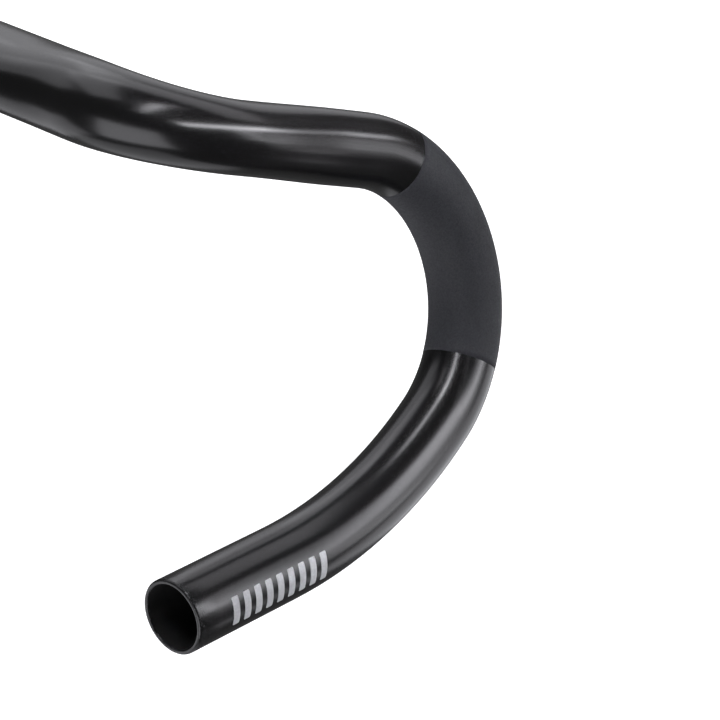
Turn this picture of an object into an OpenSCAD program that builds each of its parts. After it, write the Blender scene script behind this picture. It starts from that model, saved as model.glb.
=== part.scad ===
// Flared drop handlebar for a bicycle: one butted aluminium tube, bent alike on both sides.
// Frame: +X to the rider's right, +Y forward, +Z up, origin at the centre of the stem clamp.

/* [Tube] */
// Outside diameter of the tube at the hooks and drops
tube_d = 23.8; // [22.2:0.1:24.2]
// Wall thickness of the tube at the hooks and drops
wall = 1.5; // [1.2:0.1:2]

/* [Clamp section] */
// Outside diameter of the round section that the stem holds
clamp_d = 31.8; // [30:0.1:33]
// Length of the round section along the bar
clamp_len = 72; // [50:1:90]
// Wall thickness of the round section
clamp_wall = 2.2; // [1.8:0.1:2.6]

/* [Flattened tops] */
// Front to back depth of the flattened tops
tops_depth = 38; // [30:1:42]
// Height of the flattened tops
tops_height = 22; // [20:0.5:28]
// Squareness of the tops' outline, where 2 is a plain ellipse
tops_squareness = 2.4; // [2:0.1:3]
// Backward turn of the flats from the plane of the corner bend, in degrees
tops_tilt = 10; // [0:1:15]
// Length of the taper from the round clamp section to the flat tops
tops_taper = 42; // [30:1:60]
// Length over which the flats go over into the rounder section at the start of the corner bend
shoulder_len = 32; // [20:1:40]
// Depth of the tube at the start of the corner bend
shoulder_depth = 30; // [26:0.5:36]
// Height of the tube at the start of the corner bend
shoulder_height = 25; // [22:0.5:27]
// Depth of the tube at the outer end of the corner bend
pinch_depth = 27.2; // [24:0.2:32]
// Height of the tube at the outer end of the corner bend
pinch_height = 22.4; // [21:0.2:24]

/* [Bends] */
// Width between the tube centres at the front of the ramps
hood_width = 440; // [400:5:480]
// Centreline radius of the bend from the tops into the ramp
corner_r = 34; // [28:1:45]
// Length of the straight ramp
ramp_len = 51; // [35:1:60]
// Fall of the ramp towards the front, in degrees
ramp_fall = 10; // [0:1:15]
// Centreline radius of the hook
hook_r = 50; // [40:1:60]
// Turn of the hook, in degrees
hook_turn = 132; // [125:1:140]
// Centreline radius of the long bend below the hook
drop_r = 160; // [120:5:200]
// Turn of the long bend, in degrees
drop_turn = 29; // [20:1:35]
// Length of the straight open end
end_len = 45; // [43:1:60]
// Outward lean of the drops, in degrees
flare = 17; // [5:1:20]

/* [Lever zone] */
// Turn of the hook at which the blasted lever zone starts, in degrees
zone_start = 18.5; // [5:0.5:30]
// Turn of the hook that the blasted lever zone covers, in degrees
zone_turn = 88.5; // [60:0.5:95]
// Thickness of the blasted layer
zone_skin = 0.15; // [0.1:0.05:0.3]

/* [Printing] */
// Height of the bars printed on the drops
print_h = 9; // [5:0.5:9]
// Distance from the open end to the first bar
print_start = 14; // [8:0.5:20]
// How far the bars' middle lies below the outermost line of the drop
print_low = 2.6; // [0:0.2:3]
// Number of bars in each row
print_count = 9; // [3:1:9]
// Thickness of the printed ink
print_skin = 0.1; // [0.05:0.05:0.2]

/* [Hidden] */

$fn = 96;
tube_r = tube_d / 2;
clamp_r = clamp_d / 2;
bore_r = tube_r - wall;
end_margin = 1;                  // how far cutting tools run past a face
dive = 1;                        // how far one stretch of tube runs into the wall of the next
tuck = 0.2;                      // how far such an overlap stays inside that wall
hairline = 0.02;                 // parting of the outer skins where two round stretches meet

sides = 32;                      // flat faces round the shaped part of the tube
taper_steps = 7;
shoulder_steps = 5;
corner_steps = 10;
ramp_steps = 4;
round_share = 0.75;              // share of the ramp in which the tube becomes round again
flat = [tops_depth / 2, tops_height / 2, tops_squareness];
shoulder = [shoulder_depth / 2, shoulder_height / 2, 2.2];
pinch = [pinch_depth / 2, pinch_height / 2, 2.1];

// directions on the right half
across = [1, 0, 0];
ahead = [sin(ramp_fall) * sin(flare), cos(ramp_fall), -sin(ramp_fall) * cos(flare)];
corner_turn = acos(across * ahead);
inside = (ahead - cos(corner_turn) * across) / sin(corner_turn);
upward = cross(across, inside);

// ends of the corner bend and of the ramp
corner_x = hood_width / 2 - ramp_len * ahead.x - corner_r * sin(corner_turn);
corner_end = corner_point(corner_turn);
ramp_end = corner_end + ramp_len * ahead;

// bars printed on each drop: width along the tube, and distance from one to the next
print_w = 2.6;
print_pitch = 4.7;

// graduation lines beside the stem: one long line between shorter ones on each side
mark_steps = [-2, -1, 0, 1, 2];
mark_pitch = 6;
mark_size = [4, 0.5];
mark_edge = 8;                   // distance of the lines' outer end from the end of the round section

function corner_point(turn) = [corner_x, 0, 0]
    + corner_r * (sin(turn) * across + (1 - cos(turn)) * inside);
function corner_inside(turn) = cos(turn) * inside - sin(turn) * across;
function mix(a, b, t) = a + (b - a) * t;
function ease(t) = t * t * (3 - 2 * t);
function power(v, e) = sign(v) * pow(abs(v), e);

// a station of the shaped part: centre, direction to the inside of the bend, tilt of the
// outline, half sizes and squareness, wall, and how far both skins are tucked in
function station(centre, inward, tilt, size, thick, inset = 0) =
    [centre, cos(tilt) * inward + sin(tilt) * upward, cos(tilt) * upward - sin(tilt) * inward,
     size, thick, inset];
function taper_station(t) = station([clamp_len / 2 + tops_taper * t, 0, 0], inside, tops_tilt,
    mix([clamp_r, clamp_r, 2], flat, ease(t)), mix(clamp_wall, wall, t));
function shoulder_station(t) = station([corner_x - shoulder_len * (1 - t), 0, 0], inside, tops_tilt,
    mix(flat, shoulder, ease(t)), wall);
function corner_station(t) = station(corner_point(corner_turn * t), corner_inside(corner_turn * t),
    tops_tilt * (1 - ease(t)), mix(shoulder, pinch, ease(t)), wall);
function ramp_station(t) = station(corner_end + ramp_len * t * ahead, corner_inside(corner_turn), 0,
    mix(pinch, [tube_r, tube_r, 2], ease(min(1, t / round_share))), wall);

stations = [
    station([clamp_len / 2 - dive, 0, 0], inside, tops_tilt, [clamp_r, clamp_r, 2], clamp_wall, tuck),
    for (i = [1 : taper_steps]) taper_station(i / taper_steps),
    for (i = [0 : shoulder_steps - 1]) shoulder_station(i / shoulder_steps),
    for (i = [0 : corner_steps]) corner_station(i / corner_steps),
    for (i = [1 : ramp_steps - 1]) ramp_station(i / ramp_steps),
    station(ramp_end + dive * ahead, corner_inside(corner_turn), 0, [tube_r, tube_r, 2], wall, tuck)
];

// the outline of one station, a given depth below its outer skin
function ring(s, depth) = [
    for (k = [0 : sides - 1]) let (turn = 360 * k / sides, e = 2 / s[3][2])
        s[0] + power(cos(turn), e) * (s[3][0] - depth) * s[1]
             + power(sin(turn), e) * (s[3][1] - depth) * s[2]
];

// taper, flattened tops, corner and ramp of the right half, as one hollow tube
module shaped_part() {
    outer = [for (s = stations) each ring(s, s[5])];
    inner = [for (s = stations) each ring(s, s[4] - s[5])];
    shift = len(outer);
    last = shift - sides;
    walls = [for (i = [0 : len(stations) - 2], k = [0 : sides - 1]) let (n = (k + 1) % sides, a = i * sides)
        [a + k, a + sides + k, a + sides + n, a + n]];
    lining = [for (f = walls) [for (j = [3 : -1 : 0]) f[j] + shift]];
    mouths = [for (k = [0 : sides - 1]) let (n = (k + 1) % sides)
        each [[k, n, shift + n, shift + k], [last + k, last + shift + k, last + shift + n, last + n]]];
    polyhedron(points = concat(outer, inner), faces = concat(walls, lining, mouths));
}

// frame at the front of the ramp: +X along the tube, -Y to the inside of the hook, +Z outward
module at_hook() translate(ramp_end) rotate([0, -flare, 0]) rotate([90, 0, 90])
    rotate([0, 0, -ramp_fall]) children();

// frame at the far end of a bend that starts in the present frame
module past_bend(r, turn) translate([r * sin(turn), r * cos(turn) - r, 0])
    rotate([0, 0, -turn]) children();

// frames at the start of the long bend and at the start of the straight open end
module at_drop() at_hook() past_bend(hook_r, hook_turn) children();
module at_end() at_drop() past_bend(drop_r, drop_turn) children();

module straight(length, r_out, r_in) rotate([0, 90, 0]) difference() {
    cylinder(h = length, r = r_out);
    translate([0, 0, -end_margin]) cylinder(h = length + 2 * end_margin, r = r_in);
}

module bend(r, turn, r_out, r_in) translate([0, -r, 0]) rotate([0, 0, 90 - turn])
    rotate_extrude(angle = turn) translate([r, 0]) difference() {
        circle(r = r_out);
        circle(r = r_in);
    }

// the middle of the wall, carried through from one round stretch to the next
module joined() {
    translate([-dive, 0, 0]) straight(2 * dive, tube_r - tuck, bore_r + tuck);
    translate([hairline, 0, 0]) children();
}

// hook, long bend and open end of the right half
module round_part() {
    at_hook() bend(hook_r, hook_turn, tube_r, bore_r);
    at_drop() joined() bend(drop_r, drop_turn, tube_r, bore_r);
    at_end() joined() straight(end_len, tube_r, bore_r);
}

module bar_tube() color([0.06, 0.06, 0.065]) {
    difference() {
        translate([-clamp_len / 2, 0, 0]) straight(clamp_len, clamp_r, clamp_r - clamp_wall);
        clamp_marks();
    }
    for (side = [0, 1]) mirror([side, 0, 0]) {
        shaped_part();
        round_part();
    }
}

// graduation lines let into the upper front of the clamp section
module clamp_marks() color([0.72, 0.73, 0.74]) intersection() {
    translate([-clamp_len / 2, 0, 0]) straight(clamp_len, clamp_r, clamp_r - print_skin);
    for (side = [0, 1], i = mark_steps) mirror([side, 0, 0]) rotate([i * mark_pitch - 45, 0, 0])
        translate([clamp_len / 2 - mark_edge - (i == 0 ? 1.5 : 1) * mark_size.x, -mark_size.y / 2, 0])
            cube([(i == 0 ? 1.5 : 1) * mark_size.x, mark_size.y, clamp_d]);
}

module lever_zone() color([0.2, 0.21, 0.23]) at_hook() past_bend(hook_r, zone_start)
    bend(hook_r, zone_turn, tube_r + zone_skin, tube_r);

// a row of bars, cut through the outer side of the drop, in the frame of its straight open end
module print_row() for (i = [0 : print_count - 1])
    translate([end_len - print_start - print_w - i * print_pitch, print_low - print_h / 2, 0])
        cube([print_w, print_h, tube_d]);

module drop_print() color([0.78, 0.79, 0.8]) {
    at_end() intersection() {
        straight(end_len, tube_r + print_skin, tube_r);
        print_row();
    }
    intersection() {
        at_drop() bend(drop_r, drop_turn, tube_r + print_skin, tube_r);
        at_end() print_row();
    }
}

module lever_zone_right() lever_zone();
module lever_zone_left() mirror([1, 0, 0]) lever_zone();
module drop_print_right() drop_print();
module drop_print_left() mirror([1, 0, 0]) drop_print();

bar_tube();
lever_zone_right();
lever_zone_left();
drop_print_right();
drop_print_left();
clamp_marks();
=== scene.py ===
from collections import namedtuple
from math import acos, copysign, cos, hypot, pi, radians, sin, sqrt, tan

import bpy
from mathutils import Matrix, Vector


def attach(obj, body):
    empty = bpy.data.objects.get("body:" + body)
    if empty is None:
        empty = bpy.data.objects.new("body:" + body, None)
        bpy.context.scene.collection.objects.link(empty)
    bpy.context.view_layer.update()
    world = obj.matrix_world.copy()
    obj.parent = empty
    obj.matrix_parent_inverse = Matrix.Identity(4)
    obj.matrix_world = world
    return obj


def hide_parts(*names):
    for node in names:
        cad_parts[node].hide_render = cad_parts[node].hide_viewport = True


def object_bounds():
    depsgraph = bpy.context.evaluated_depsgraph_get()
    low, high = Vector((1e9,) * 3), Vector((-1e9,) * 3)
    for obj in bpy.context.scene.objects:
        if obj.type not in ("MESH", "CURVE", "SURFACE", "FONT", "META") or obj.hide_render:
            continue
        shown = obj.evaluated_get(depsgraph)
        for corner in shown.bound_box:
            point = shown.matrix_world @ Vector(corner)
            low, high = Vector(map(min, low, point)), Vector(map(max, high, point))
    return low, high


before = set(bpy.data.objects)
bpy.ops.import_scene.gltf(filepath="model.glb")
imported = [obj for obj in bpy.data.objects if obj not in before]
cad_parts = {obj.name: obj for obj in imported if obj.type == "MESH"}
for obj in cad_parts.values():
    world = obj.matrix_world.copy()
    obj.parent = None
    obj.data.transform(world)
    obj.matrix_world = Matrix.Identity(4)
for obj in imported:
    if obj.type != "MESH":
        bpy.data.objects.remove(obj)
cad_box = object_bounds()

# Flared drop handlebar: the tube is swept again as one smooth skin, with rounded lips at its open
# ends, and the blasted lever zones and the printed marks are thin pieces lying on that skin.
# Frame: +X to the rider's right, +Y forward, +Z up, origin at the centre of the stem clamp.
# Lengths of the bar are in millimetres until a mesh is made, and everything else is in metres.
MM = 0.001

# ---- driving dimensions, the same as the CAD part's ----
TUBE_R = 23.8 / 2
WALL = 1.5
CLAMP_R = 31.8 / 2
CLAMP_LEN = 72
CLAMP_WALL = 2.2
FLAT = (38 / 2, 22 / 2, 2.4)             # tops: half depth, half height, squareness
SHOULDER = (30 / 2, 25 / 2, 2.2)         # start of the corner bend
PINCH = (27.2 / 2, 22.4 / 2, 2.1)        # outer end of the corner bend
ROUND = (TUBE_R, TUBE_R, 2)
TOPS_TILT = radians(10)
TOPS_TAPER = 42
SHOULDER_LEN = 32
HOOD_WIDTH = 440
CORNER_R = 34
RAMP_LEN = 51
RAMP_FALL = radians(10)
ROUND_SHARE = 0.75                       # share of the ramp in which the tube becomes round again
HOOK_R = 50
HOOK_TURN = radians(132)
DROP_R = 160
DROP_TURN = radians(29)
END_LEN = 45
FLARE = radians(17)
ZONE_START = radians(18.5)
ZONE_TURN = radians(88.5)
PRINT_H = 9
PRINT_START = 14
PRINT_LOW = 2.6
PRINT_COUNT = 9
PRINT_W = 2.6
PRINT_PITCH = 4.7
MARK_STEPS = (-2, -1, 0, 1, 2)
MARK_PITCH = radians(6)
MARK_MIDDLE = radians(-45)
MARK_LENGTH = 4
MARK_WIDTH = 0.5
LONG_MARK = 1.5                          # the middle line is this many times as long
MARK_EDGE = 8

# ---- finish of the surfaces that CAD leaves plain ----
LIP_OUT = 0.7                            # rounding of the open ends' outer edge
LIP_IN = 0.4                             # rounding of their inner edge
LIP_STEPS = 4
BLAST_PROUD = 0.05                       # how far the blasted layer stands out of the tube
BLAST_DEEP = 0.3                         # how far it reaches into the wall
INK_PROUD = 0.03
INK_DEEP = 0.2
INK_CORNER = 0.4                         # rounding of the printed bars' corners

# ---- fineness of the meshes ----
SIDES = 72
CLAMP_STEPS = 3
TAPER_STEPS = 18
TOPS_STEPS = 8
SHOULDER_STEPS = 16
CORNER_STEPS = 36
RAMP_STEPS = 14
HOOK_STEPS = 53
DROP_STEPS = 18
END_STEPS = 6
ZONE_STEPS = 43
PRINT_COLUMNS = 4
PRINT_ROWS = 20
MARK_COLUMNS = 6
MARK_ROWS = 3

X = Vector((1, 0, 0))
Y = Vector((0, 1, 0))
Z = Vector((0, 0, 1))
LEAN_UP = Vector((-sin(FLARE), 0, cos(FLARE)))     # up within the plane of the drop
LEAN_OUT = Vector((cos(FLARE), 0, sin(FLARE)))     # square to that plane, away from the stem

AHEAD = cos(RAMP_FALL) * Y - sin(RAMP_FALL) * LEAN_UP
CORNER_TURN = acos(X.dot(AHEAD))
INSIDE = (AHEAD - cos(CORNER_TURN) * X) / sin(CORNER_TURN)
UPWARD = X.cross(INSIDE)
CORNER_X = HOOD_WIDTH / 2 - RAMP_LEN * AHEAD.x - CORNER_R * sin(CORNER_TURN)

Station = namedtuple("Station", "centre inward upward size wall")
Bend = namedtuple("Bend", "middle radius heading")


def mix(a, b, t):
    return a + (b - a) * t


def mix_size(a, b, t):
    return tuple(mix(p, q, t) for p, q in zip(a, b))


def ease(t):
    return t * t * (3 - 2 * t)


def power(value, exponent):
    return copysign(abs(value) ** exponent, value)


# ---- the path of the right half ----
def tilted(centre, inward, tilt, size, wall):
    return Station(
        centre,
        cos(tilt) * inward + sin(tilt) * UPWARD,
        cos(tilt) * UPWARD - sin(tilt) * inward,
        size,
        wall,
    )


def corner_point(turn):
    bow = sin(turn) * X + (1 - cos(turn)) * INSIDE
    return CORNER_X * X + CORNER_R * bow


def corner_inside(turn):
    return cos(turn) * INSIDE - sin(turn) * X


def along(heading):
    return cos(heading) * Y + sin(heading) * LEAN_UP


def outside(heading):
    return cos(heading) * LEAN_UP - sin(heading) * Y


def on_bend(bend, turn):
    """Centre of the tube after some turn of a bend in the plane of the drop."""
    return bend.middle + bend.radius * outside(bend.heading - turn)


RAMP_START = corner_point(CORNER_TURN)
HOOK_START = RAMP_START + RAMP_LEN * AHEAD
HOOK = Bend(HOOK_START - HOOK_R * outside(-RAMP_FALL), HOOK_R, -RAMP_FALL)
DROP_START = on_bend(HOOK, HOOK_TURN)
DROP_HEADING = HOOK.heading - HOOK_TURN
DROP = Bend(DROP_START - DROP_R * outside(DROP_HEADING), DROP_R, DROP_HEADING)
END_START = on_bend(DROP, DROP_TURN)
END_HEADING = DROP_HEADING - DROP_TURN
END_AHEAD = along(END_HEADING)


def round_station(centre, heading):
    """A station of the round tube, whose outline turns on without a twist from the ramp's."""
    inward = corner_inside(CORNER_TURN)
    across, up = inward.dot(LEAN_OUT), inward.dot(outside(-RAMP_FALL))
    out = outside(heading)
    return Station(centre, across * LEAN_OUT + up * out, up * LEAN_OUT - across * out, ROUND, WALL)


def shaped_stations():
    """Clamp section, taper, flattened tops, corner and ramp, from the middle of the bar outward."""
    for i in range(CLAMP_STEPS + 1):
        place = CLAMP_LEN / 2 * i / CLAMP_STEPS
        yield tilted(place * X, INSIDE, TOPS_TILT, (CLAMP_R, CLAMP_R, 2), CLAMP_WALL)
    for i in range(1, TAPER_STEPS + 1):
        t = i / TAPER_STEPS
        size = mix_size((CLAMP_R, CLAMP_R, 2), FLAT, ease(t))
        place = CLAMP_LEN / 2 + TOPS_TAPER * t
        yield tilted(place * X, INSIDE, TOPS_TILT, size, mix(CLAMP_WALL, WALL, t))
    for i in range(1, TOPS_STEPS):
        place = mix(CLAMP_LEN / 2 + TOPS_TAPER, CORNER_X - SHOULDER_LEN, i / TOPS_STEPS)
        yield tilted(place * X, INSIDE, TOPS_TILT, FLAT, WALL)
    for i in range(SHOULDER_STEPS):
        t = i / SHOULDER_STEPS
        size = mix_size(FLAT, SHOULDER, ease(t))
        yield tilted((CORNER_X - SHOULDER_LEN * (1 - t)) * X, INSIDE, TOPS_TILT, size, WALL)
    for i in range(CORNER_STEPS + 1):
        t = i / CORNER_STEPS
        turn = CORNER_TURN * t
        tilt = TOPS_TILT * (1 - ease(t))
        size = mix_size(SHOULDER, PINCH, ease(t))
        yield tilted(corner_point(turn), corner_inside(turn), tilt, size, WALL)
    for i in range(1, RAMP_STEPS):
        t = i / RAMP_STEPS
        size = mix_size(PINCH, ROUND, ease(min(1, t / ROUND_SHARE)))
        centre = RAMP_START + RAMP_LEN * t * AHEAD
        yield tilted(centre, corner_inside(CORNER_TURN), 0, size, WALL)


def round_stations():
    """Hook, long bend and straight end, up to where the lip of the open end begins."""
    for bend, full, steps in ((HOOK, HOOK_TURN, HOOK_STEPS), (DROP, DROP_TURN, DROP_STEPS)):
        for i in range(steps):
            turn = full * i / steps
            yield round_station(on_bend(bend, turn), bend.heading - turn)
    for i in range(END_STEPS):
        centre = END_START + (END_LEN - LIP_OUT) * i / END_STEPS * END_AHEAD
        yield round_station(centre, END_HEADING)


def ring(station, depth):
    """One outline of the tube, at some depth below its outer skin."""
    half_depth, half_height, squareness = station.size
    points = []
    for k in range(SIDES):
        turn = 2 * pi * k / SIDES
        ahead = power(cos(turn), 2 / squareness) * (half_depth - depth)
        up = power(sin(turn), 2 / squareness) * (half_height - depth)
        points.append(station.centre + ahead * station.inward + up * station.upward)
    return points


def lip_rings():
    """The rounded rim of the right open end, from the outer skin over to the bore."""
    rings = []
    for i in range(LIP_STEPS + 1):
        turn = pi / 2 * i / LIP_STEPS
        rings.append((LIP_OUT * (1 - cos(turn)), LIP_OUT * (sin(turn) - 1)))
    for i in range(LIP_STEPS + 1):
        turn = pi / 2 * i / LIP_STEPS
        rings.append((WALL - LIP_IN * (1 - sin(turn)), LIP_IN * (cos(turn) - 1)))
    mouth = END_START + END_LEN * END_AHEAD
    return [ring(round_station(mouth + back * END_AHEAD, END_HEADING), depth) for depth, back in rings]


# ---- mesh making ----
def mirrored(points):
    return [Vector((-p.x, p.y, p.z)) for p in points]


def add_piece(name, points, faces, materials, replaced):
    """One object of the bar, made from points in millimetres, that rides on the bar's only body."""
    mesh = bpy.data.meshes.new(name)
    mesh.from_pydata([p * MM for p in points], [], faces)
    for material in materials:
        mesh.materials.append(material)
    mesh.polygons.foreach_set("use_smooth", [True] * len(mesh.polygons))
    mesh.update()
    piece = bpy.data.objects.new(name, mesh)
    bpy.context.scene.collection.objects.link(piece)
    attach(piece, "root")
    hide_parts(*replaced)
    return piece


def hoop_faces(count):
    """Faces of a hollow shape made of rings, where the last ring joins the first again."""
    faces = []
    for i in range(count):
        a, b = i * SIDES, (i + 1) % count * SIDES
        for k in range(SIDES):
            n = (k + 1) % SIDES
            faces.append((a + k, a + n, b + n, b + k))
    return faces


def add_bar_body(skin, bore):
    """The whole tube as one closed skin: outside, right lip, bore and left lip."""
    half = list(shaped_stations()) + list(round_stations())
    lip = lip_rings()
    outer = [ring(s, 0) for s in half]
    inner = [ring(s, s.wall) for s in half]
    rings = [mirrored(r) for r in reversed(outer[1:])] + outer + lip
    rings += inner[:0:-1] + [mirrored(r) for r in inner]
    rings += [mirrored(r) for r in reversed(lip)]
    points = [p for r in rings for p in r]
    piece = add_piece("bar_body", points, hoop_faces(len(rings)), [skin, bore], ["bar_tube"])

    # the bore starts where the lips' rounding ends, and the lighter patches of worn paint and painted
    # rim highlight lie on the lips only
    first = 2 * len(outer) - 1 + len(lip) - 1
    last = first + 2 * len(inner)
    for face in piece.data.polygons:
        if first <= face.index // SIDES < last:
            face.material_index = 1
    lip_wear_and_painted_highlight = piece.data.attributes.new("lip", "FLOAT", "POINT")
    rims = set(range(2 * len(outer) - 1, 2 * len(outer) - 1 + len(lip)))
    rims |= set(range(len(rings) - len(lip), len(rings)))
    for index in range(len(points)):
        lip_wear_and_painted_highlight.data[index].value = 1.0 if index // SIDES in rims else 0.0


def add_lever_zone(side, material):
    """The blasted layer round the hook, as a thin closed sleeve with sharp ends."""
    outer, inner = [], []
    for i in range(ZONE_STEPS + 1):
        turn = ZONE_START + ZONE_TURN * i / ZONE_STEPS
        station = Station(on_bend(HOOK, turn), outside(HOOK.heading - turn), LEAN_OUT, ROUND, WALL)
        outer.append(ring(station, -BLAST_PROUD))
        inner.append(ring(station, BLAST_DEEP))
    rings = outer + inner[::-1]
    if side == "left":
        rings = [mirrored(r) for r in reversed(rings)]
    name = "lever_zone_" + side
    points = [p for r in rings for p in r]
    faces = hoop_faces(len(rings))
    piece = add_piece(name + "_skin", points, faces, [material], [name])
    sharpen(piece)


def sharpen(piece):
    """Keeps edges of more than half a right angle crisp."""
    with bpy.context.temp_override(object=piece, active_object=piece, selected_objects=[piece]):
        bpy.ops.object.shade_smooth_by_angle(angle=pi / 4)


def patch(outline, surface, columns, rows):
    """A thin closed patch: outline(t) gives a row's height and two ends, surface() lays it down."""
    points = []
    for proud in (INK_PROUD, -INK_DEEP):
        for j in range(rows + 1):
            height, start, stop = outline(j / rows)
            for i in range(columns + 1):
                points.append(surface(mix(start, stop, i / columns), height, proud))
    width = columns + 1
    shift = width * (rows + 1)
    faces = []
    for j in range(rows):
        for i in range(columns):
            a = j * width + i
            face = (a, a + 1, a + 1 + width, a + width)
            faces.append(face)
            faces.append(tuple(v + shift for v in reversed(face)))
    rim = list(range(width))
    rim += [j * width + columns for j in range(1, rows + 1)]
    rim += [rows * width + i for i in reversed(range(columns))]
    rim += [j * width for j in range(rows - 1, 0, -1)]
    for a, b in zip(rim, rim[1:] + rim[:1]):
        faces.append((b, a, a + shift, b + shift))
    return points, faces


def turned_over(faces):
    return [face[::-1] for face in faces]


def joined(patches, side):
    """Several patches as one mesh, turned over for the left half."""
    points, faces = [], []
    for patch_points, patch_faces in patches:
        shift = len(points)
        points += patch_points if side == "right" else mirrored(patch_points)
        for face in patch_faces:
            order = face if side == "right" else reversed(face)
            faces.append(tuple(v + shift for v in order))
    return points, faces


def print_outline(index):
    """One printed bar with small round corners, in the frame of the straight end."""
    start = END_LEN - PRINT_START - PRINT_W - index * PRINT_PITCH

    def row(t):
        across = -cos(pi * t) * PRINT_H / 2
        edge = INK_CORNER - min(INK_CORNER, PRINT_H / 2 - abs(across))
        inset = INK_CORNER - sqrt(INK_CORNER ** 2 - edge ** 2)
        return PRINT_LOW + across, start + inset, start + PRINT_W - inset
    return row


def on_drop(forward, across, proud):
    """A point on the outer side of the drop, where negative forward lies on the long bend."""
    off = across if forward >= 0 else hypot(forward, across + DROP_R) - DROP_R
    lift = sqrt(TUBE_R ** 2 - off ** 2) + proud
    return END_START + forward * END_AHEAD + across * outside(END_HEADING) + lift * LEAN_OUT


def add_drop_print(side, material):
    """A row of plain bars on the outer side of the drop."""
    patches = [patch(print_outline(i), on_drop, PRINT_COLUMNS, PRINT_ROWS) for i in range(PRINT_COUNT)]
    points, faces = joined(patches, side)
    name = "drop_print_" + side
    piece = add_piece(name + "_ink", points, faces, [material], [name])
    sharpen(piece)


def add_clamp_lines(material):
    """Graduation lines on the upper front of the clamp section, five on each side of the stem."""
    patches = []
    for step in MARK_STEPS:
        turn = MARK_MIDDLE + step * MARK_PITCH
        length = MARK_LENGTH * (LONG_MARK if step == 0 else 1)
        stop = CLAMP_LEN / 2 - MARK_EDGE

        def row(t, start=stop - length):
            return MARK_WIDTH * (t - 0.5), start, stop

        def on_clamp(place, height, proud, turn=turn):
            around = turn + height / CLAMP_R
            return place * X + (CLAMP_R + proud) * (cos(around) * Z - sin(around) * Y)

        patches.append(patch(row, on_clamp, MARK_COLUMNS, MARK_ROWS))
    flipped = [(p, turned_over(f)) for p, f in patches]
    right, right_faces = joined(flipped, "right")
    left, left_faces = joined(flipped, "left")
    faces = right_faces + [tuple(v + len(right) for v in f) for f in left_faces]
    piece = add_piece("clamp_lines", right + left, faces, [material], ["clamp_marks"])
    sharpen(piece)


# ---- materials ----
class Surface:
    """A material under construction: a Principled shader with the object's own coordinates."""

    def __init__(self, name):
        self.material = bpy.data.materials.new(name)
        self.material.use_nodes = True
        self.nodes = self.material.node_tree.nodes
        self.links = self.material.node_tree.links
        self.shader = self.nodes["Principled BSDF"]
        self.place = self.nodes.new("ShaderNodeTexCoord").outputs["Object"]
        self.normal = None

    def noise(self, scale, detail, roughness=0.5):
        node = self.nodes.new("ShaderNodeTexNoise")
        node.inputs["Scale"].default_value = scale
        node.inputs["Detail"].default_value = detail
        node.inputs["Roughness"].default_value = roughness
        self.links.new(self.place, node.inputs["Vector"])
        return node.outputs["Fac"]

    def spread(self, value, low, high, start=0.3, stop=0.7):
        node = self.nodes.new("ShaderNodeMapRange")
        node.inputs["From Min"].default_value = start
        node.inputs["From Max"].default_value = stop
        node.inputs["To Min"].default_value = low
        node.inputs["To Max"].default_value = high
        self.links.new(value, node.inputs["Value"])
        return node.outputs["Result"]

    def blend(self, factor, first, second):
        """A colour between two, each a colour or another node's output."""
        node = self.nodes.new("ShaderNodeMix")
        node.data_type = "RGBA"
        self.links.new(factor, node.inputs["Factor"])
        for socket, colour in ((node.inputs[6], first), (node.inputs[7], second)):
            if isinstance(colour, tuple):
                socket.default_value = colour + (1,)
            else:
                self.links.new(colour, socket)
        return node.outputs[2]

    def sum(self, first, second):
        node = self.nodes.new("ShaderNodeMath")
        node.operation = "ADD"
        for socket, value in zip(node.inputs, (first, second)):
            self.links.new(value, socket)
        return node.outputs["Value"]

    def bump(self, height, distance, strength):
        node = self.nodes.new("ShaderNodeBump")
        node.inputs["Distance"].default_value = distance
        node.inputs["Strength"].default_value = strength
        self.links.new(height, node.inputs["Height"])
        if self.normal:
            self.links.new(self.normal, node.inputs["Normal"])
        self.normal = node.outputs["Normal"]

    def finish(self, colour, roughness, **constants):
        self.links.new(colour, self.shader.inputs["Base Color"])
        self.links.new(roughness, self.shader.inputs["Roughness"])
        self.links.new(self.normal, self.shader.inputs["Normal"])
        for name, value in constants.items():
            self.shader.inputs[name.replace("_", " ")].default_value = value
        return self.material


def satin_black():
    """Satin black coating: a smooth film with a faint ripple, fine dust, and greyer patches on the
    lips that are partly worn paint and partly a painted rim highlight.
    """
    s = Surface("satin_black_coating")
    tone = s.blend(s.spread(s.noise(14, 4), 0, 1), (0.0022, 0.0022, 0.0025), (0.0034, 0.0034, 0.0037))
    # lighter grey in patches on the lips: partly paint worn off the cut ends, partly a painted rim
    # highlight
    lip_wear_and_painted_highlight = s.nodes.new("ShaderNodeAttribute")
    lip_wear_and_painted_highlight.attribute_name = "lip"
    patchy = s.spread(s.noise(900, 3), 0, 1, 0.45, 0.6)
    wear_and_painted_highlight = s.nodes.new("ShaderNodeMath")
    wear_and_painted_highlight.operation = "MULTIPLY"
    s.links.new(lip_wear_and_painted_highlight.outputs["Fac"], wear_and_painted_highlight.inputs[0])
    s.links.new(patchy, wear_and_painted_highlight.inputs[1])
    colour = s.blend(wear_and_painted_highlight.outputs["Value"], tone, (0.02, 0.02, 0.021))
    roughness = s.sum(s.spread(s.noise(22, 3), 0.20, 0.23), s.spread(s.noise(1800, 2), 0, 0.03))
    s.bump(s.noise(240, 2), 0.00012, 0.03)
    s.bump(s.noise(2400, 2), 0.00002, 0.02)
    return s.finish(colour, roughness)


def raw_bore():
    """Inside of the tube: thin overspray over drawn aluminium, rough and nearly black."""
    s = Surface("dark_bore")
    colour = s.blend(s.spread(s.noise(160, 5), 0, 1), (0.006, 0.006, 0.0065), (0.014, 0.0135, 0.013))
    roughness = s.spread(s.noise(90, 4), 0.5, 0.7)
    s.bump(s.noise(700, 4), 0.00008, 0.3)
    return s.finish(colour, roughness)


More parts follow.
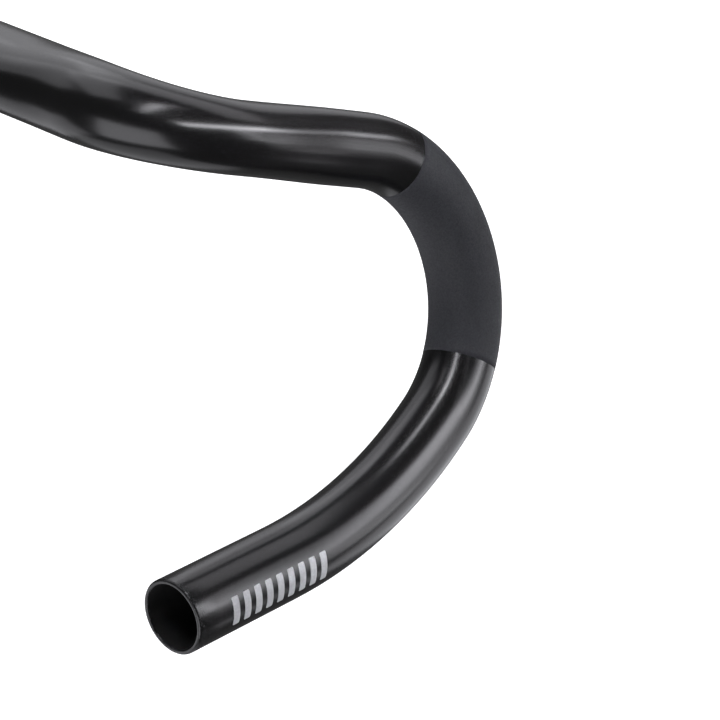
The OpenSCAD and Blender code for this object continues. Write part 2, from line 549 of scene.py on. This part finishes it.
def blasted_charcoal():
    """Bead-blasted grip zone: an even grain of tiny pits that scatters the light."""
    s = Surface("blasted_charcoal_grain")
    grain = s.noise(2100, 3, 0.7)
    tone = s.blend(s.spread(s.noise(30, 3), 0, 1), (0.0165, 0.0169, 0.0208), (0.0215, 0.0220, 0.0268))
    colour = s.blend(s.spread(grain, 0, 1, 0.35, 0.7), tone, (0.0340, 0.0350, 0.0415))
    roughness = s.spread(s.noise(1500, 2), 0.62, 0.78)
    s.bump(s.noise(900, 3), 0.00006, 0.25)
    s.bump(grain, 0.00006, 0.6)
    return s.finish(colour, roughness)


def grey_ink():
    """Pad-printed light grey ink, slightly uneven in cover."""
    s = Surface("grey_ink_print")
    colour = s.blend(s.spread(s.noise(1400, 4), 0, 1), (0.50, 0.51, 0.52), (0.62, 0.63, 0.64))
    roughness = s.spread(s.noise(700, 3), 0.42, 0.55)
    s.bump(s.noise(1800, 2), 0.00003, 0.2)
    return s.finish(colour, roughness)


# ---- camera ----
AIM = Vector((0.24206, 0.06987, -0.07400))         # in the open curve of the right hook
CAMERA_TURN = radians(42.286)                      # round to the right from straight behind
CAMERA_RISE = radians(19.097)
CAMERA_ROLL = radians(7.433)
CAMERA_AWAY = 0.93027
CAMERA_LENS = 150.39                               # this and the sensor in millimetres
CAMERA_SENSOR = 36
CAMERA_SEES = 100                                  # far enough for the floor's rim


def add_camera():
    """Looks at the right half of the bar from behind it, from its right and from above."""
    away = cos(CAMERA_RISE) * (sin(CAMERA_TURN) * X - cos(CAMERA_TURN) * Y) + sin(CAMERA_RISE) * Z
    level = Z.cross(away).normalized()
    upright = away.cross(level)
    right = cos(CAMERA_ROLL) * level + sin(CAMERA_ROLL) * upright
    turned = Matrix((right, away.cross(right), away)).transposed().to_4x4()
    data = bpy.data.cameras.new("camera")
    data.lens = CAMERA_LENS
    data.sensor_width = CAMERA_SENSOR
    data.clip_end = CAMERA_SEES
    camera = bpy.data.objects.new("camera", data)
    camera.matrix_world = Matrix.Translation(AIM + CAMERA_AWAY * away) @ turned
    bpy.context.scene.collection.objects.link(camera)
    bpy.context.scene.camera = camera


# ---- studio ----
FLOOR_R = 30
FLOOR_DROP = 0.12                                  # how far the floor lies below the bar
FLOOR_SIDES = 64
FLOOR_GLOW = 0.9
LIGHT_TINT = (0.97, 0.97, 1.02)                    # a touch cool
LIGHT_POWER = 4                                    # watts that give a square metre a glow of 1
LIGHT_AWAY = 3.0

# large soft lamps: turn is the direction on the compass, 0 ahead and 90 to the right, and all the
# angles are in degrees
SoftBox = namedtuple("SoftBox", "name turn rise wide high glow")
SOFT_BOXES = (
    SoftBox("key", 58, 24, 26, 32, 1.4),
    SoftBox("front_left", -42, 24, 30, 28, 0.55),
    SoftBox("front_high", -25, 58, 60, 26, 1.1),
    SoftBox("left", -94, 40, 70, 22, 0.9),
    SoftBox("left_high", -120, 62, 56, 24, 1.2),
    SoftBox("under_right", 160, -28, 48, 44, 2.0),
    SoftBox("under_front", 8, -18, 50, 36, 1.1),
    SoftBox("under_left", -118, -38, 50, 30, 1.0),
    SoftBox("under", -90, -80, 50, 50, 0.6),
)

# small gridded lamps that light one spot of the right half each: start and end are turn and rise,
# beam is the full angle of a lamp's light, and wide is its own size as the spot sees it
GRID_AWAY = 0.9
GRID_SPOTS = {
    "tops": Vector((0.197, 0.010, 0)),
    "ramp": Vector((0.222, 0.060, -0.008)),
    "drop": Vector((0.248, 0.055, -0.112)),
}
GridRow = namedtuple("GridRow", "name spot start end count beam wide glow")
GRID_ROWS = (
    GridRow("tops_row", "tops", (114, 30), (30, 29), 17, 10, 9, 17.0),
    GridRow("ramp_row", "ramp", (39, 18), (45, 4), 3, 10, 8, 6.0),
    GridRow("drop_row", "drop", (61, 32), (55, 12), 4, 14, 10, 9.0),
    GridRow("drop_row_low", "drop", (50, 6), (40, -8), 3, 14, 10, 4.5),
    GridRow("streak_row", "drop", (150, 44), (132, 76), 8, 10, 6, 44.0),
    GridRow("streak_end", "drop", (122, 80), (60, 82), 3, 10, 6, 16.0),
)

ROOM_LOW = 0.11                                    # glow of the surroundings below the bar
ROOM_HIGH = 0.12                                   # and above it
ROOM_FADE = 0.3                                    # height of a direction at which each is reached


def compass(turn, rise):
    flat = sin(radians(turn)) * X + cos(radians(turn)) * Y
    return cos(radians(rise)) * flat + sin(radians(rise)) * Z


def add_lamp(name, spot, toward, away, wide, high, glow):
    """A rectangular lamp that faces a spot, with its size as that spot sees it."""
    data = bpy.data.lights.new(name, "AREA")
    data.shape = "RECTANGLE"
    data.size = 2 * away * tan(wide / 2)
    data.size_y = 2 * away * tan(high / 2)
    data.energy = glow * LIGHT_POWER * data.size * data.size_y
    data.color = LIGHT_TINT
    light = bpy.data.objects.new(name, data)
    level = Z.cross(toward).normalized()
    turned = Matrix((level, toward.cross(level), toward)).transposed().to_4x4()
    light.matrix_world = Matrix.Translation(spot + away * toward) @ turned
    light.visible_camera = False
    bpy.context.scene.collection.objects.link(light)
    return data


def add_soft_box(box):
    toward = compass(box.turn, box.rise)
    add_lamp(box.name, AIM, toward, LIGHT_AWAY, radians(box.wide), radians(box.high), box.glow)


def add_grid_row(row):
    """Lamps behind grids, less than a beam apart, that one spot of the bar sees as a line of light."""
    beam, wide = radians(row.beam), radians(row.wide)
    # Blender brightens the middle of a narrow beam by this gain
    gain = tan(beam / 2) / (tan(beam / 2) - beam / 2)
    spot, glow = GRID_SPOTS[row.spot], row.glow / gain
    first, last = compass(*row.start), compass(*row.end)
    for i in range(row.count):
        toward = first.slerp(last, i / (row.count - 1))
        lamp = add_lamp("%s_%d" % (row.name, i), spot, toward, GRID_AWAY, wide, wide, glow)
        lamp.spread = beam


def add_floor():
    """A white, softly glowing table below the bar, large enough to fill the view."""
    mesh = bpy.data.meshes.new("floor")
    rim = [compass(360 * i / FLOOR_SIDES, 0) * FLOOR_R for i in reversed(range(FLOOR_SIDES))]
    mesh.from_pydata(rim, [], [tuple(range(FLOOR_SIDES))])
    s = Surface("floor_white")
    s.bump(s.noise(3, 2), 0.001, 0.05)
    colour = s.blend(s.spread(s.noise(2, 2), 0, 1), (0.80, 0.80, 0.80), (0.82, 0.82, 0.82))
    roughness = s.spread(s.noise(5, 2), 0.85, 0.9)
    s.finish(colour, roughness, Emission_Color=(1, 1, 1, 1), Emission_Strength=FLOOR_GLOW)
    mesh.materials.append(s.material)
    floor = bpy.data.objects.new("floor", mesh)
    floor.location.z = cad_box[0][2] - FLOOR_DROP
    floor.visible_glossy = False
    floor.visible_diffuse = False
    floor.visible_shadow = False
    bpy.context.scene.collection.objects.link(floor)


def add_room():
    """Surroundings of the studio: white to the eye, but dim to the bar, and dimmest from below."""
    world = bpy.data.worlds.new("studio")
    bpy.context.scene.world = world
    world.use_nodes = True
    nodes, links = world.node_tree.nodes, world.node_tree.links
    place = nodes.new("ShaderNodeTexCoord")
    split = nodes.new("ShaderNodeSeparateXYZ")
    links.new(place.outputs["Generated"], split.inputs["Vector"])
    fade = nodes.new("ShaderNodeMapRange")
    fade.interpolation_type = "SMOOTHSTEP"
    fade.inputs["From Min"].default_value = -ROOM_FADE
    fade.inputs["From Max"].default_value = ROOM_FADE
    fade.inputs["To Min"].default_value = ROOM_LOW
    fade.inputs["To Max"].default_value = ROOM_HIGH
    links.new(split.outputs["Z"], fade.inputs["Value"])
    links.new(fade.outputs["Result"], nodes["Background"].inputs["Strength"])
    nodes["Background"].inputs["Color"].default_value = (1, 1, 1, 1)
    seen = nodes.new("ShaderNodeBackground")
    seen.inputs["Color"].default_value = (1, 1, 1, 1)
    ray = nodes.new("ShaderNodeLightPath")
    pick = nodes.new("ShaderNodeMixShader")
    links.new(ray.outputs["Is Camera Ray"], pick.inputs["Fac"])
    links.new(nodes["Background"].outputs["Background"], pick.inputs[1])
    links.new(seen.outputs["Background"], pick.inputs[2])
    links.new(pick.outputs["Shader"], nodes["World Output"].inputs["Surface"])


# ---- the scene ----
add_camera()
bpy.context.scene.view_settings.view_transform = "Standard"
add_floor()
add_room()
for soft_box in SOFT_BOXES:
    add_soft_box(soft_box)
for grid_row in GRID_ROWS:
    add_grid_row(grid_row)

add_bar_body(satin_black(), raw_bore())
blasted = blasted_charcoal()
ink = grey_ink()
for hand in ("right", "left"):
    add_lever_zone(hand, blasted)
    add_drop_print(hand, ink)
add_clamp_lines(ink)
